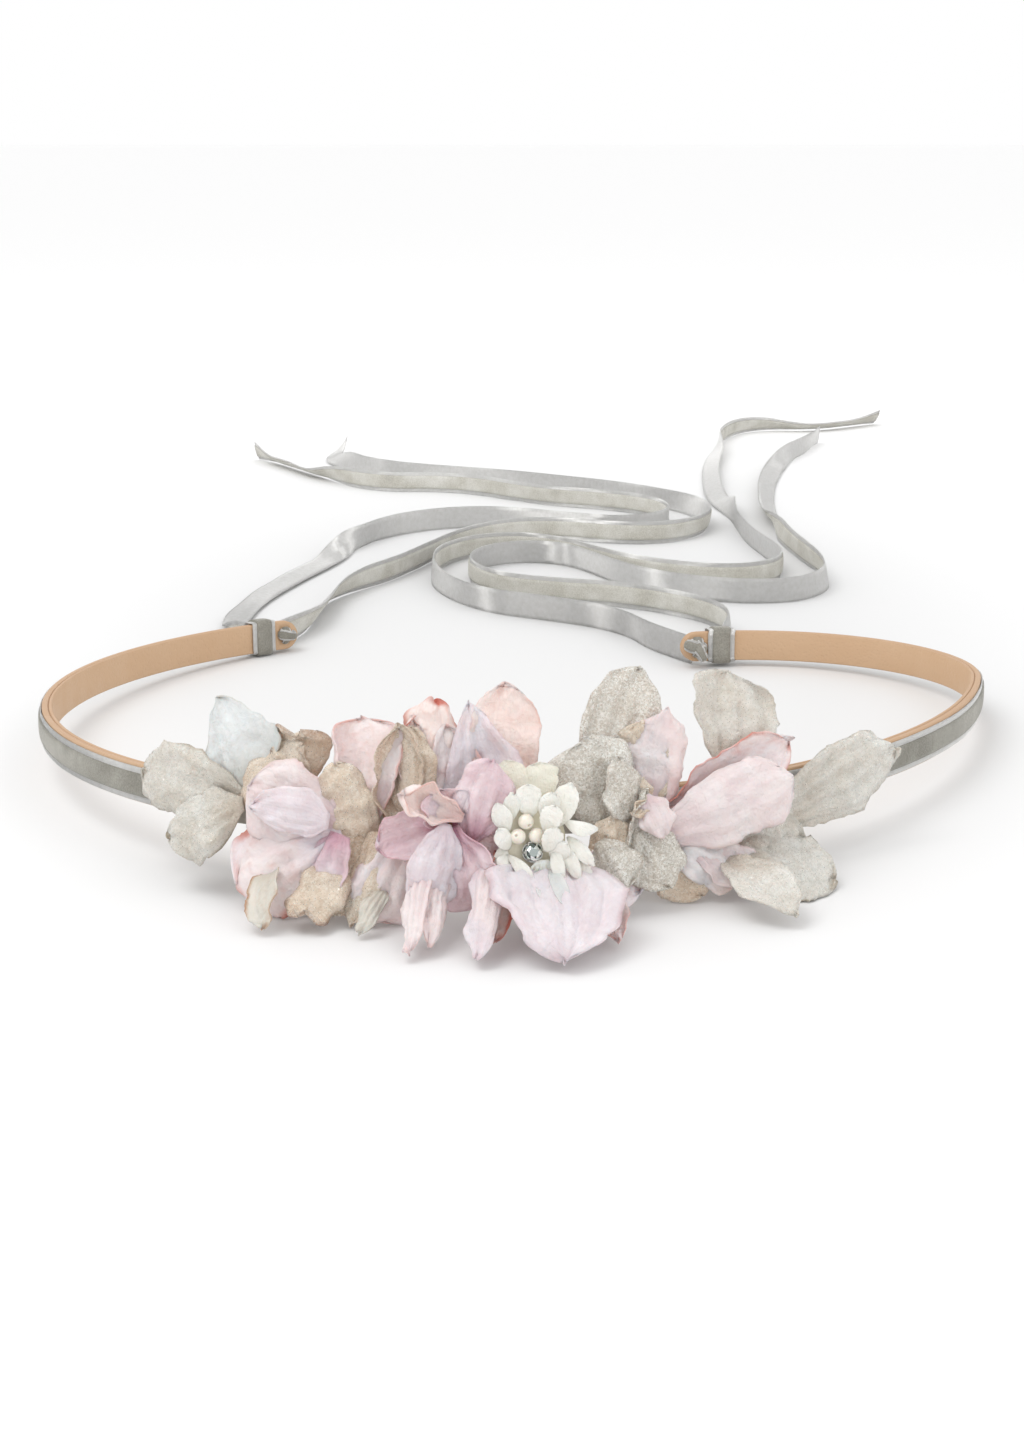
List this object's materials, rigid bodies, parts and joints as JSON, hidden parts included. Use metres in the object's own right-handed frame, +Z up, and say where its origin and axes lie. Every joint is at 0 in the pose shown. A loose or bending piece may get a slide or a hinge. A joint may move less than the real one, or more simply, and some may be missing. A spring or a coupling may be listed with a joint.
{
  "type": "flower crown",
  "caption": "Open leather-covered headband with a velvet ribbon face, long ribbon ties and a front spray of dried petals round a white pearl flower.",
  "frame": {"origin": "on the table, at the middle of the crown's box without its ribbon tails", "axes": "+Z up from the table, +Y from the flowers to the open back, +X to the right as the flowers are seen from the front"},
  "size_m": [0.2244, 0.5306, 0.0318],
  "materials": {
    "tan_leather": "soft tan leather, matt",
    "spring_steel": "thin spring strip",
    "grey_velvet": "silver-grey velvet ribbon with satin edges",
    "grey_felt": "thin felt",
    "stem_wire": "wire wound in brown paper tape",
    "white_paper": "cut ivory petals, semi-matt",
    "white_thread": "fine white thread",
    "pearl": "pearl lacquer",
    "claw_metal": "polished claws",
    "cut_glass": "faceted glass",
    "pink_petal": "preserved petal, blush pink",
    "lilac_petal": "preserved petal, lilac",
    "glitter_petal": "preserved petal with champagne glitter",
    "grey_petal": "preserved petal, translucent grey beige"
  },
  "bodies": {
    "root": {"leather_lining": "tan_leather", "spring_core": "spring_steel", "leather_cover": "tan_leather", "velvet_ribbon": "grey_velvet", "felt_pad": "grey_felt", "left_tie_wrap": "grey_velvet", "right_tie_wrap": "grey_velvet", "left_tie_knot": "grey_velvet", "right_tie_knot": "grey_velvet", "floret_stems": "stem_wire", "flower_disc": "white_paper", "pearls": "pearl", "claw_setting": "claw_metal", "rhinestone": "cut_glass", "thread_fan": "white_thread", "white_oval_petals": "white_paper", "white_finger_petals": "white_paper", "white_star_petals": "white_paper", "ivory_back_petals": "white_paper", "translucent_finger_petals": "white_paper", "leaf_left_upper": "grey_petal", "leaf_left_lower": "grey_petal", "grey_petal_left": "grey_petal", "champagne_petal_left": "glitter_petal", "pink_petal_left_upper": "pink_petal", "pink_petal_left_lower": "pink_petal", "translucent_petal_low_left": "grey_petal", "champagne_curl_low": "glitter_petal", "pink_petal_top_left": "pink_petal", "champagne_petal_top_left": "glitter_petal", "champagne_curl_top": "glitter_petal", "coral_petal_top": "pink_petal", "champagne_strip_low": "glitter_petal", "pink_petal_low": "pink_petal", "mauve_floret": "lilac_petal", "pale_tails_low_left": "lilac_petal", "lilac_petal_top": "lilac_petal", "blush_petal_top": "pink_petal", "pale_tails_low_mid": "lilac_petal", "lilac_petal_low": "lilac_petal", "lilac_petal_low_right": "lilac_petal", "silver_leaf_tall": "glitter_petal", "silver_leaf_front": "glitter_petal", "champagne_fold": "glitter_petal", "rolled_pink_petal": "pink_petal", "pink_curl_small": "pink_petal", "pink_petal_right_upper": "pink_petal", "pink_petal_right_lower": "pink_petal", "grey_petal_back_right": "grey_petal", "silver_petal_low_a": "glitter_petal", "silver_petal_low_b": "glitter_petal", "lavender_petal_low": "lilac_petal", "leaf_right": "grey_petal", "grey_petal_right_upper": "grey_petal", "grey_petal_right_lower": "grey_petal", "translucent_petal_low_right": "grey_petal", "left_tail_outer": "grey_velvet", "left_tail_inner": "grey_velvet", "right_tail_outer": "grey_velvet", "right_tail_inner": "grey_velvet"}
  },
  "joints": []
}
